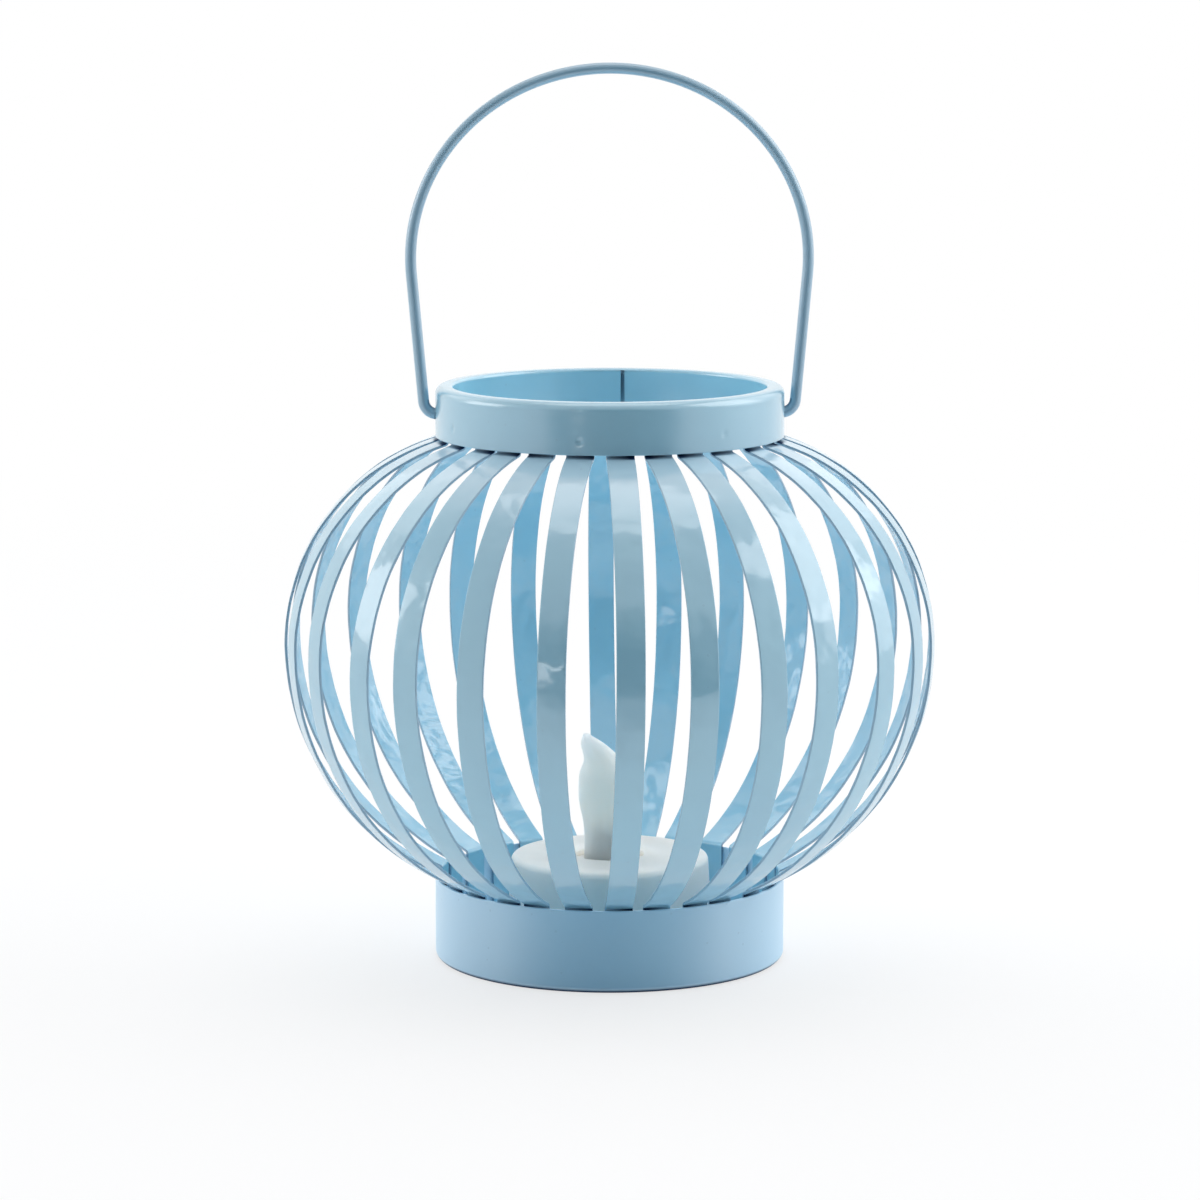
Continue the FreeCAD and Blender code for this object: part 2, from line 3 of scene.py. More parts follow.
import bmesh
import bpy
import numpy as np
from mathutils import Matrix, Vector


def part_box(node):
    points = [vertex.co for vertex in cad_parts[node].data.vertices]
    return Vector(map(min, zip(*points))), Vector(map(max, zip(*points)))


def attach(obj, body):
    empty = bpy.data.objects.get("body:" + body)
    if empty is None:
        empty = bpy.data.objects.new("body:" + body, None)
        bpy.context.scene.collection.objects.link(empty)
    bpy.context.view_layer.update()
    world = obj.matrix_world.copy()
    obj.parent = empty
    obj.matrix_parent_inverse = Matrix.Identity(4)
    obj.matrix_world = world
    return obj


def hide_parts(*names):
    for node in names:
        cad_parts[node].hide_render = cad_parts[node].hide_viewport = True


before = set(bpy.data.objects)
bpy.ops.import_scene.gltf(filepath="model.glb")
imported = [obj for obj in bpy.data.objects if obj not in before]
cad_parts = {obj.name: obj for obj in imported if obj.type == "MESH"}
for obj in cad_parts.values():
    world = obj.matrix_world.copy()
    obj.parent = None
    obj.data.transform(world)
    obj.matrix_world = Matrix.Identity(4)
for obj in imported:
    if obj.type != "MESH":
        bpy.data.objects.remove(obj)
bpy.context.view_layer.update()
scene = bpy.context.scene

# The base cup is the lantern's foot: steel sheet drawn into a shallow round cup with a flat floor and
# a rounded lower edge, stoved with pale blue enamel that dries to a satin on it. The strips are spot
# welded round the inside of its wall, and the tealight stands loose on its floor.
mm = 0.001
sheet = 0.5 * mm
edge_round = 0.16 * mm
cup_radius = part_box("base_cup")[1].x
cup_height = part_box("base_cup")[1].z
cup_corner = 1.2 * mm
cup_columns = 480
cup_out_of_round = 0.05 * mm
cup_lobes = ((2, 0.6), (5, 2.1))
# Heights and reach of the contact shadow painted on the cup's lower edge.
cup_shadow_full_height = 0.4 * mm
cup_shadow_fade_height = 0.45 * mm
cup_shadow_reach_in = 0.6 * mm
sharp_angle = math.radians(40)
same_point = 1e-8
enamel_tones = ((133, 193, 220), (140, 199, 224))
# The cup's blues are lighter than the strips' as painted light bounced up from the floor.
cup_floor_lit_tones = ((139, 198, 231), (147, 203, 234))
# Lighter blues for inside faces: painted bounce light from inside the cage.
inside_bounce_tones = ((138, 209, 236), (146, 213, 239))
# A paler blue towards a slant is a painted sheen.
enamel_painted_sheen = (189, 228, 252)
# A paler blue under the collar is a painted highlight on the strips' outer faces.
enamel_painted_highlight = (186, 224, 245)
# A darker blue: painted shade on the strips' sheared edges, and a faint tint on dust nibs.
enamel_edge_shade_and_nib = (126, 170, 197)
# Dark navy without gloss: painted shade in joints, hollows and under the cup, and bare metal on the bail's
# pins.
enamel_shade_and_bare = (26, 52, 86)
enamel_drift = 42.0
enamel_grain = 650.0
enamel_wave = 260.0
enamel_rough = (-0.04, 0.05)
# How the painted sheen spreads with the slant.
painted_sheen_blend = 0.5
painted_sheen_full = 0.28
peel_depth = 0.03 * mm
# Extra roughness where the painted shade and the bare metal lie.
shade_and_bare_roughness = 0.4
nib_cells = 420.0
nib_edge = (0.06, 0.12)
nib_chosen = (0.62, 0.66)
nib_tint = 0.2
nib_height = 2.0
noise_middle = (0.35, 0.65)
noise_range = (0.3, 0.7)


def run(start, end, count):
    """Points on the straight line from start up to, but not at, end, spaced by a half cosine so that they
    draw together towards both ends."""
    share = (1 - np.cos(np.pi * np.arange(count) / count)) / 2
    return np.add(start, np.outer(share, np.subtract(end, start)))


def bend(centre, radius, first, last, count):
    """Points on a circle about centre, from the first angle up to, but not at, the last, in degrees."""
    angle = np.radians(np.linspace(first, last, count, endpoint=False))
    return np.add(centre, radius * np.column_stack((np.cos(angle), np.sin(angle))))


def round_steps(count):
    """Angles of one full turn in even steps, the last left out."""
    return np.linspace(0, 2 * np.pi, count, endpoint=False)


def spun(radius, height, turn):
    """A profile turned round Z: x = radius cos(turn), y = radius sin(turn), z = height."""
    return np.dstack(np.broadcast_arrays(radius * np.cos(turn), radius * np.sin(turn), height))


def skin(name, points, rows_close=False, marks=None):
    """A mesh object over a grid of points, its columns closed round, its faces turned outwards.
    Each mark is a number for every point, kept as an attribute that a material can read."""
    rows, columns = points.shape[:2]
    number = np.arange(rows * columns).reshape(rows, columns)
    number = np.hstack((number, number[:, :1]))
    if rows_close:
        number = np.vstack((number, number[:1]))
    corners = (number[:-1, :-1], number[:-1, 1:], number[1:, 1:], number[1:, :-1])
    mesh = bpy.data.meshes.new(name)
    faces = np.stack(corners, axis=-1).reshape(-1, 4)
    mesh.from_pydata(points.reshape(-1, 3).tolist(), [], faces.tolist())
    for mark, values in (marks or {}).items():
        layer = mesh.attributes.new(mark, "FLOAT", "POINT")
        layer.data.foreach_set("value", np.ravel(values).astype(np.float32))
    shape = bmesh.new()
    shape.from_mesh(mesh)
    bmesh.ops.remove_doubles(shape, verts=shape.verts, dist=same_point)
    bmesh.ops.recalc_face_normals(shape, faces=shape.faces)
    shape.to_mesh(mesh)
    shape.free()
    mesh.shade_smooth()
    mesh.set_sharp_from_angle(angle=sharp_angle)
    piece = bpy.data.objects.new(name, mesh)
    scene.collection.objects.link(piece)
    return piece


def colour(screen, opacity=1.0):
    """A colour given as it looks on screen, 0 to 255, as the linear light that a shader takes, by the
    usual screen curve: straight near black and a power of 2.4 above."""
    share = np.array(screen) / 255
    light = np.where(share <= 0.04045, share / 12.92, ((share + 0.055) / 1.055) ** 2.4)
    return (*light.tolist(), opacity)


def shader_node(tree, kind, inputs=None, **settings):
    """The outputs of a new shader node whose inputs are set to values or linked from sockets."""
    made = tree.nodes.new("ShaderNode" + kind)
    for key, value in settings.items():
        setattr(made, key, value)
    for key, value in (inputs or {}).items():
        if isinstance(value, bpy.types.NodeSocket):
            tree.links.new(value, made.inputs[key])
        else:
            made.inputs[key].default_value = value
    return made.outputs


def mixed(tree, share, first, second):
    """A colour that lies a share of the way from the first to the second."""
    return shader_node(tree, "Mix", {0: share, 6: first, 7: second}, data_type="RGBA")[2]


def spread(tree, value, low, high, out_low, out_high):
    """A value moved smoothly from one range to another, and held at the ends."""
    inputs = {"Value": value, "From Min": low, "From Max": high, "To Min": out_low, "To Max": out_high}
    return shader_node(tree, "MapRange", inputs, interpolation_type="SMOOTHSTEP")["Result"]


def noise(tree, place, scale, detail):
    """A cloudy value about a half, with features one over scale metres apart."""
    return shader_node(tree, "TexNoise", {"Vector": place, "Scale": scale, "Detail": detail})["Fac"]


def worked_out(tree, operation, *values):
    """A number worked out from others by one step of arithmetic."""
    return shader_node(tree, "Math", dict(enumerate(values)), operation=operation)[0]


def point_mark(tree, name):
    """A number that the mesh carries at its points, or nought where it has no such mark."""
    return shader_node(tree, "Attribute", attribute_name=name)["Fac"]


def new_surface(name):
    """A new material, its node tree, the inputs of its surface shader and the place on the object."""
    material = bpy.data.materials.new(name)
    material.use_nodes = True
    tree = material.node_tree
    return material, tree, tree.nodes["Principled BSDF"].inputs, shader_node(tree, "TexCoord")["Object"]


def enamel(name, roughness, coat_roughness, peel, wave, tones=enamel_tones, gloss=1.0, ior=1.85, painted_sheen_share=0.0):
    """Stoved enamel: a slow drift between two blues, or between two lighter ones on inside faces as painted
    bounce light. It is painted paler at a slant as a sheen, paler under the collar as a highlight and
    darker on cut edges as shade. Where the mark asks, it turns to a dark navy metal without gloss: painted
    shade in joints and hollows, and bare metal on the bail's pins. It has a few dust nibs, a fine
    orange-peel skin and a clear gloss over it."""
    material, tree, surface, place = new_surface(name)
    drift = noise(tree, place, enamel_drift, detail=3.0)
    grain = noise(tree, place, enamel_grain, detail=2.0)
    slow = noise(tree, place, enamel_wave, detail=0.8)
    cell = shader_node(tree, "TexVoronoi", {"Vector": place, "Scale": nib_cells})
    nib = spread(tree, cell["Distance"], *nib_edge, 1.0, 0.0)
    nib = worked_out(tree, "MULTIPLY", nib, spread(tree, cell["Color"], *nib_chosen, 0.0, 1.0))
    tone = spread(tree, drift, *noise_middle, 0.0, 1.0)
    slant = shader_node(tree, "LayerWeight", {"Blend": painted_sheen_blend})["Facing"]
    shade_and_bare_mark = point_mark(tree, "shade_and_bare")
    # Inside faces take the lighter blues as painted bounce light.
    within = mixed(tree, tone, *map(colour, inside_bounce_tones))
    paint = mixed(tree, tone, *map(colour, tones))
    paint = mixed(tree, point_mark(tree, "inside"), paint, within)
    # Paler towards a slant: painted sheen.
    paint = mixed(tree, spread(tree, slant, 0.0, painted_sheen_full, 0.0, painted_sheen_share), paint, colour(enamel_painted_sheen))
    # Paler under the collar: painted highlight.
    paint = mixed(tree, point_mark(tree, "painted_highlight"), paint, colour(enamel_painted_highlight))
    # Darker on the strips' sheared edges: painted shade.
    paint = mixed(tree, point_mark(tree, "edge_shade"), paint, colour(enamel_edge_shade_and_nib))
    # Dark navy metal without gloss where the mark asks: painted shade in joints and hollows, bare metal on
    # the pins.
    paint = mixed(tree, shade_and_bare_mark, paint, colour(enamel_shade_and_bare))
    paint = mixed(tree, spread(tree, nib, 0.0, 1.0, 0.0, nib_tint), paint, colour(enamel_edge_shade_and_nib))
    rough = spread(tree, drift, *noise_range, *np.add(roughness, enamel_rough).tolist())
    relief = worked_out(tree, "MULTIPLY_ADD", nib, nib_height, grain)
    waved = shader_node(tree, "Bump", {"Strength": 1.0, "Distance": wave, "Height": slow})["Normal"]
    peeled = {"Strength": peel, "Distance": peel_depth, "Height": relief, "Normal": waved}
    tree.links.new(paint, surface["Base Color"])
    tree.links.new(shade_and_bare_mark, surface["Metallic"])
    tree.links.new(worked_out(tree, "MULTIPLY_ADD", shade_and_bare_mark, shade_and_bare_roughness, rough), surface["Roughness"])
    tree.links.new(worked_out(tree, "MULTIPLY_ADD", shade_and_bare_mark, -gloss, gloss), surface["Coat Weight"])
    tree.links.new(shader_node(tree, "Bump", peeled)["Normal"], surface["Normal"])
    tree.links.new(waved, surface["Coat Normal"])
    surface["IOR"].default_value = ior
    surface["Coat Roughness"].default_value = coat_roughness
    surface["Coat IOR"].default_value = ior
    return material


def finished(piece, material, body, slot, *nodes):
    """Gives a piece its material, hangs it on the body it rides on and hides the nodes it stands for. The
    slot, its finish, is not used.
    """
    piece.data.materials.append(material)
    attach(piece, body)
    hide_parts(*nodes)


cup_profile = np.vstack((
    run((0, 0), (cup_radius - cup_corner, 0), 14),
    bend((cup_radius - cup_corner, cup_corner), cup_corner, -90, 0, 10),
    run((cup_radius, cup_corner), (cup_radius, cup_height - edge_round), 24),
    bend((cup_radius - edge_round, cup_height - edge_round), edge_round, 0, 90, 6),
    run((cup_radius - edge_round, cup_height), (cup_radius - sheet + edge_round, cup_height), 2),
    bend((cup_radius - sheet + edge_round, cup_height - edge_round), edge_round, 90, 180, 6),
    run((cup_radius - sheet, cup_height - edge_round), (cup_radius - sheet, cup_corner), 20),
    bend((cup_radius - cup_corner, cup_corner), cup_corner - sheet, 0, -90, 8),
    run((cup_radius - cup_corner, sheet), (0, sheet), 14),
    [(0, sheet)],
))
cup_turn = round_steps(cup_columns)
# Two slow waves round the wall draw it slightly in, and the floor by less towards its middle.
cup_dent = sum(1 + np.sin(lobes * cup_turn + phase) for lobes, phase in cup_lobes) / (2 * len(cup_lobes))
cup_pull = cup_out_of_round * cup_dent * cup_profile[:, :1] / cup_radius
# The outside of the rounded lower edge, close to what the cup stands on, is painted dark navy as its
# contact shadow.
corner_out = cup_profile - (cup_radius - cup_corner, cup_corner)
cup_contact_shadow = np.clip(1 - (cup_profile[:, 1:] - cup_shadow_full_height) / cup_shadow_fade_height, 0, 1)
cup_contact_shadow = cup_contact_shadow * np.clip(1 + corner_out[:, :1] / cup_shadow_reach_in, 0, 1)
cup_contact_shadow = cup_contact_shadow * (np.hypot(*corner_out.T)[:, None] > cup_corner - sheet / 2) * np.ones(cup_columns)
cup_points = spun(cup_profile[:, :1] - cup_pull, cup_profile[:, 1:], cup_turn)
cup = skin("cup_enamelled", cup_points, marks={"shade_and_bare": cup_contact_shadow})
cup_enamel = enamel(
    "enamel_satin",
    roughness=0.42,
    coat_roughness=0.3,
    peel=0.25,
    wave=0.02 * mm,
    tones=cup_floor_lit_tones,
    gloss=0.4,
    ior=1.6,
    painted_sheen_share=1.0,
)
finished(cup, cup_enamel, "lantern", "blue_paint", "base_cup")

# The strips are the lantern's bulb: flat steel strip sheared to width, bowed in two tangent arcs with
# an upright tab at each end, and set by hand round the cup and collar, so each has a slight twist and
# sway of its own. They are painted with the rest. Their sheared edges carry painted shade in a darker
# blue, their outer faces a painted highlight in a paler blue towards the collar, and their inner faces
# painted bounce light in lighter blues.
strip_width = 4.8 * mm
strip_thick = 0.5 * mm
strip_edge_round = 0.12 * mm
strip_crown = 0.03 * mm
strip_upper_bow = 37.6 * mm
strip_bend = 0.25 * mm
strip_seat_gap = 0.02 * mm
strip_head_gap = 0.06 * mm
strip_foot_gap = 0.15 * mm
strip_twist = math.radians(2.0)
strip_sway = 0.12 * mm
strip_set = (0.0, 0.0, -0.6)
strip_set_askew = {
    "rib_03": (-1.5, 0.35, 0.8),
    "rib_06": (-0.8, 0.6, -0.3),
    "rib_07": (0.0, 1.0, -0.5),
    "rib_24": (1.0, -0.2, -0.5),
    "rib_25": (2.0, -0.7, -3.0),
    "rib_26": (1.6, -0.5, 1.8),
    "rib_27": (1.4, -0.2, -0.8),
}
strip_ripple = 0.03 * mm
strip_waves = (7, 17, 31)
strip_wave_room = 1.65
strip_wave_fade = 6
# How far below the collar the painted highlight reaches.
strip_highlight_reach = 9.0 * mm
strip_face_blend = 4
strip_joint_shows = 0.1 * mm
strip_foot_shows = 0.35 * mm
# How dark the painted shade at the strips' joints is, and how unevenly it falls across a strip.
strip_joint_shade_level = 0.75
strip_joint_patchy = 0.5
strip_seed = 28
strip_tab_rows = 8
strip_bow_rows = 84
collar_low, collar_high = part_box("collar")
collar_radius = collar_high.x
strip_names = sorted(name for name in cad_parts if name.startswith("rib_"))
strip_low, strip_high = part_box("rib_08")
body_radius = strip_high.x


def tab_radius(wall):
    """How far out a flat tab stands when its two corners all but touch the inside of a round wall, by the
    right triangle of the wall's radius and half the tab's width."""
    return math.sqrt((wall - strip_seat_gap) ** 2 - (strip_width / 2) ** 2)


def strip_line():
    """Radius and height of the middle of a strip's thickness, and its outward normal, from the top tab
    down: a tab, a tight bend, the upper bow, the lower bow, a tight bend and the foot tab. Each bend's
    centre lies one bend radius outside its tab, and each bow is tangent to its bend and upright at
    the widest point, which fixes that point's height and the lower bow's radius."""
    half = strip_thick / 2
    top_tab = tab_radius(collar_radius - sheet)
    foot_tab = tab_radius(cup_radius - sheet)
    top = np.array((top_tab + strip_bend, collar_low.z - strip_head_gap))
    foot = np.array((foot_tab + strip_bend, cup_height + strip_foot_gap))
    upper_x = body_radius - strip_upper_bow
    widest = top[1] - math.sqrt((strip_upper_bow + strip_bend) ** 2 - (top[0] - upper_x) ** 2)
    across, down = body_radius - foot[0], widest - foot[1]
    lower_bow = (across ** 2 + down ** 2 - strip_bend ** 2) / (2 * (across + strip_bend))
    upper = np.array((upper_x, widest))
    lower = np.array((body_radius - lower_bow, widest))
    rise = math.degrees(math.atan2(*(top - upper)[::-1]))
    fall = math.degrees(math.atan2(*(foot - lower)[::-1]))
    line = np.vstack((
        run((top_tab - half, strip_high.z), (top_tab - half, top[1]), strip_tab_rows),
        bend(top, strip_bend + half, 180, 180 + rise, strip_tab_rows),
        bend(upper, strip_upper_bow - half, rise, 0, strip_bow_rows),
        bend(lower, lower_bow - half, 0, fall, strip_bow_rows),
        bend(foot, strip_bend + half, 180 + fall, 180, strip_tab_rows),
        run((foot_tab - half, foot[1]), (foot_tab - half, strip_low.z), strip_tab_rows),
        [(foot_tab - half, strip_low.z)],
    ))
    lean = np.radians(np.concatenate((
        np.zeros(strip_tab_rows),
        np.linspace(0, rise, strip_tab_rows, endpoint=False),
        np.linspace(rise, 0, strip_bow_rows, endpoint=False),
        np.linspace(0, fall, strip_bow_rows, endpoint=False),
        np.linspace(fall, 0, strip_tab_rows, endpoint=False),
        np.zeros(strip_tab_rows + 1),
    )))
    return line, np.column_stack((np.cos(lean), np.sin(lean)))


def strip_section():
    """Across and out places round a strip's section, a flat bar with rounded edges whose two faces are
    bowed by the crown, and how much each point lies on a sheared edge."""
    side, face, curl = strip_width / 2, strip_thick / 2, strip_edge_round
    ring = np.vstack((
        run((-side + curl, face), (side - curl, face), 12),
        bend((side - curl, face - curl), curl, 90, 0, 4),
        run((side, face - curl), (side, curl - face), 2),
        bend((side - curl, curl - face), curl, 0, -90, 4),
        run((side - curl, -face), (curl - side, -face), 12),
        bend((curl - side, curl - face), curl, -90, -180, 4),
        run((-side, curl - face), (-side, face - curl), 2),
        bend((curl - side, face - curl), curl, 180, 90, 4),
    ))
    on_edge = np.clip((np.abs(ring[:, 0]) - side + curl) / curl, 0, 1)
    across, out = ring.T
    return across, out - strip_crown * (across / side) ** 2, on_edge


def strip_azimuth(node):
    """The angle of a strip's middle from -Y towards +X, from the points of its CAD node."""
    points = np.empty(3 * len(node.data.vertices))
    node.data.vertices.foreach_get("co", points)
    x, y = points.reshape(-1, 3).mean(axis=0)[:2]
    return math.atan2(x, -y)


line, normal = strip_line()
across, out, on_edge = strip_section()
line = np.vstack((line[:1], line, line[-1:]))
normal = np.vstack((normal[:1], normal, normal[-1:]))
full = np.ones((len(line), 1))
full[[0, -1]] = 0
along = np.concatenate(([0], np.cumsum(np.hypot(*np.diff(line, axis=0).T))))[:, None]
along = along / along[-1]
belly = np.sin(np.pi * along) ** 2
# The crevice is where a strip goes in behind the collar and behind the cup's edge; its shadow there is
# painted dark navy, unevenly across the strip.
strip_joint_shade = line[:, 1:] > collar_low.z - 2 * strip_bend - sheet
strip_joint_shade = strip_joint_shade & (line[:, :1] < collar_radius + strip_joint_shows)
strip_joint_shade = strip_joint_shade | (np.abs(line[:, 1:] - cup_height) < strip_foot_gap + strip_foot_shows)
outer_face = np.clip(out / strip_thick * strip_face_blend, 0, 1)
inner_face = np.clip(-out / strip_thick * strip_face_blend, 0, 1)
# The outer faces are painted paler towards the collar as a highlight.
painted_highlight = outer_face * np.clip(1 - (collar_low.z - line[:, 1:]) / strip_highlight_reach, 0, 1)
rippled = np.clip(strip_wave_fade * along * (1 - along), 0, 1)
strip_enamel = enamel("enamel_gloss", roughness=0.4, coat_roughness=0.11, peel=0.2, wave=0.22 * mm)
# Each strip is the section carried down the line. It has its own twist, drawn in so that no corner stands
# out, and its own sway and ripples, and its azimuth follows a parabola through three small angles, in
# degrees, at its top, middle and foot.
hand = np.random.default_rng(strip_seed)
strips = {}
for name in strip_names:
    twist = strip_twist * hand.uniform(-1, 1) * belly
    sway = strip_sway * hand.uniform(-1, 1) + strip_sway * hand.uniform(-1, 1) * np.sin(2 * np.pi * along)
    sway = sway * belly
    aside = full * (across * np.cos(twist) - out * np.sin(twist)) + sway
    off = full * (across * np.sin(twist) + out * np.cos(twist)) - np.abs(np.sin(twist)) * strip_width / 2
    waves = [np.sin(2 * np.pi * (turns * along + hand.uniform())) / turns for turns in strip_waves]
    off = off - strip_ripple * rippled * (strip_wave_room + strip_waves[0] * sum(waves))
    uneven = hand.uniform(-strip_joint_patchy, strip_joint_patchy) * across / strip_width * 2
    patchy = np.clip(strip_joint_shade_level + uneven, 0, 1)
    at_top, at_middle, at_foot = np.radians(strip_set_askew.get(name, strip_set))
    askew = at_top * (1 - 2 * along) * (1 - along) + at_middle * 4 * along * (1 - along)
    askew = askew + at_foot * along * (2 * along - 1)
    azimuth = strip_azimuth(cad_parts[name]) + askew
    radius = line[:, :1] + normal[:, :1] * off
    points = np.dstack((
        radius * np.sin(azimuth) + aside * np.cos(azimuth),
        -radius * np.cos(azimuth) + aside * np.sin(azimuth),
        line[:, 1:] + normal[:, 1:] * off,
    ))
    strip = skin("strip_" + name[-2:], points, marks={
        "edge_shade": on_edge * np.ones_like(full),
        "shade_and_bare": strip_joint_shade * outer_face * patchy,
        "painted_highlight": painted_highlight,
        "inside": inner_face * np.ones_like(full),
    })
    finished(strip, strip_enamel, "lantern", "blue_paint", name)
    strips[name] = strip

# The collar is the lantern's mouth: a channel rolled from sheet, with a flat rim rounded outside, an
# outer skirt over the strips' top tabs and a shorter inner skirt whose butt seam stays open at the
# back. Spot welds through the skirt leave shallow dimples, and the bail turns in two punched holes.
rim_width = 3.1 * mm
rim_round = 1.45 * mm
rim_corner = 0.6 * mm
inner_depth = 7.0 * mm
weld_height = 95.6 * mm
weld_size = 0.5 * mm
weld_depth = 0.2 * mm
weld_every = 4
weld_weakest = 0.6
weld_rise_step = 7.0
weld_force_step = 3.0
roll_mark = 0.012 * mm
roll_lobes = 3
roll_phase = 1.0
roll_lines = 2500
roll_wander = 2
channel_wall = 0.9 * sheet
# How dark the painted shade inside the collar's channel is.
channel_shade_level = 0.25
seam_width = 0.7 * mm
seam_top = 0.3 * mm
seam_azimuth = math.radians(172.5)
pivot_height = 96.6 * mm
pivot_hole = 1.075 * mm
pivot_columns = 48
collar_columns = 640
bore_radius = collar_radius - rim_width
round_middle = (collar_radius - rim_round, collar_high.z - rim_round)
corner_middle = (bore_radius + rim_corner, collar_high.z - rim_corner)
inner_bottom = collar_high.z - inner_depth


def sheet_end(radius, height):
    """A sheared lower edge of a skirt, its two corners eased, from its outside face inwards."""
    return np.vstack((
        bend((radius - edge_round, height + edge_round), edge_round, 0, -90, 5),
        run((radius - edge_round, height), (radius - sheet + edge_round, height), 2),
        bend((radius - sheet + edge_round, height + edge_round), edge_round, -90, -180, 5),
    ))


def box_points(low, high):
    """A box's corners as four columns round and two rows, with its two end faces gathered in."""
    x = np.array((low[0], high[0], high[0], low[0]))
    y = np.array((low[1], low[1], high[1], high[1]))
    middle_x, middle_y = np.full(4, x.mean()), np.full(4, y.mean())
    z_low, z_high = np.full(4, low[2]), np.full(4, high[2])
    return np.stack((
        np.column_stack((middle_x, middle_y, z_low)),
        np.column_stack((x, y, z_low)),
        np.column_stack((x, y, z_high)),
        np.column_stack((middle_x, middle_y, z_high)),
    ))


def cut_away(piece, cutter):
    """Takes the cutter's volume out of a piece for good."""
    cutting = piece.modifiers.new("cut", "BOOLEAN")
    cutting.operation = "DIFFERENCE"
    cutting.solver = "EXACT"
    cutting.object = cutter
    shape = piece.evaluated_get(bpy.context.evaluated_depsgraph_get())
    mesh = bpy.data.meshes.new_from_object(shape)
    piece.modifiers.clear()
    piece.data = mesh
    mesh.name = piece.name
    mesh.shade_smooth()
    mesh.set_sharp_from_angle(angle=sharp_angle)


collar_profile = np.vstack((
    run((collar_radius, collar_low.z + edge_round), (collar_radius, round_middle[1]), 30),
    bend(round_middle, rim_round, 0, 90, 14),
    run((round_middle[0], collar_high.z), (corner_middle[0], collar_high.z), 5),
    bend(corner_middle, rim_corner, 90, 180, 10),
    run((bore_radius, corner_middle[1]), (bore_radius, inner_bottom + edge_round), 16),
    sheet_end(bore_radius + sheet, inner_bottom)[::-1],
    run((bore_radius + sheet, inner_bottom + edge_round), (bore_radius + sheet, corner_middle[1]), 6),
    bend(corner_middle, rim_corner - sheet, 180, 90, 4),
    run((corner_middle[0], collar_high.z - sheet), (round_middle[0], collar_high.z - sheet), 2),
    bend(round_middle, rim_round - sheet, 90, 0, 8),
    run((collar_radius - sheet, round_middle[1]), (collar_radius - sheet, collar_low.z + edge_round), 6),
    sheet_end(collar_radius, collar_low.z)[::-1],
))
collar_turn = round_steps(collar_columns)
collar_r, collar_z = collar_profile[:, :1], collar_profile[:, 1:]
outside = np.isclose(collar_r, collar_radius)
weld_turn = np.array([strip_azimuth(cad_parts[name]) for name in strip_names]) - np.pi / 2
weld_turn = weld_turn[weld_every - 1::weld_every]
weld_number = np.arange(len(weld_turn))
weld_rise = weld_size * np.sin(weld_rise_step * weld_number)
weld_press = np.abs(np.sin(weld_force_step * weld_number))
weld_force = weld_depth * (weld_weakest + (1 - weld_weakest) * weld_press)
# Each weld is a round dent that falls away as a bell curve. Rolling leaves a slow wave round the skirt
# and fine lines that wander up and down.
welds = np.zeros((len(collar_r), collar_columns))
for turn, rise, force in zip(weld_turn, weld_rise, weld_force):
    arc = collar_radius * ((collar_turn - turn + np.pi) % (2 * np.pi) - np.pi)
    from_weld = (arc ** 2 + (collar_z - weld_height - rise) ** 2) / weld_size ** 2
    welds += force * np.exp(-from_weld)
roll_line = np.sin(roll_lines * collar_z + roll_wander * np.sin(collar_turn))
rolling = (2 + np.sin(roll_lobes * collar_turn + roll_phase) + roll_line) / 4
collar_points = spun(collar_r - outside * (welds + roll_mark * rolling), collar_z, collar_turn)
# The inside of the channel, seen through the open seam, is painted dark navy as shade.
in_channel = (collar_r > bore_radius + channel_wall) & (collar_r < collar_radius - channel_wall)
in_channel = in_channel & (collar_z < collar_high.z - channel_wall)
channel_shade = channel_shade_level * in_channel * np.ones(collar_columns)
# The bore's inner wall takes the lighter inside blues as painted bounce light.
in_bore = (collar_r < bore_radius + sheet / 2) * np.ones(collar_columns)
collar_marks = {"shade_and_bare": channel_shade, "inside": in_bore}
collar = skin("collar_enamelled", collar_points, rows_close=True, marks=collar_marks)
pin_reach = 2 * collar_radius
pin_turn = round_steps(pivot_columns)
pin_x = np.array((-pin_reach, -pin_reach, pin_reach, pin_reach))[:, None]
pin_r = np.array((0, pivot_hole, pivot_hole, 0))[:, None]
pin_y, pin_z = pin_r * np.cos(pin_turn), pivot_height + pin_r * np.sin(pin_turn)
pivot_cutter = skin("pivot_cutter", np.dstack(np.broadcast_arrays(pin_x, pin_y, pin_z)))
seam_far = (-seam_width / 2, -round_middle[0], collar_low.z)
seam_near = (seam_width / 2, rim_width - bore_radius, collar_high.z - seam_top)
seam_box = box_points(seam_far, seam_near)
seam_cos, seam_sin = math.cos(seam_azimuth), math.sin(seam_azimuth)
seam_points = np.dstack((
    seam_box[:, :, 0] * seam_cos - seam_box[:, :, 1] * seam_sin,
    seam_box[:, :, 0] * seam_sin + seam_box[:, :, 1] * seam_cos,
    seam_box[:, :, 2],
))
seam_cutter = skin("seam_cutter", seam_points)
cut_away(collar, pivot_cutter)
cut_away(collar, seam_cutter)
cut_away(strips["rib_08"], pivot_cutter)
cut_away(strips["rib_22"], pivot_cutter)
bpy.data.objects.remove(pivot_cutter)
bpy.data.objects.remove(seam_cutter)
collar_enamel = enamel("enamel_rolled", roughness=0.34, coat_roughness=0.16, peel=0.2, wave=0.03 * mm)
finished(collar, collar_enamel, "lantern", "blue_paint", "collar")

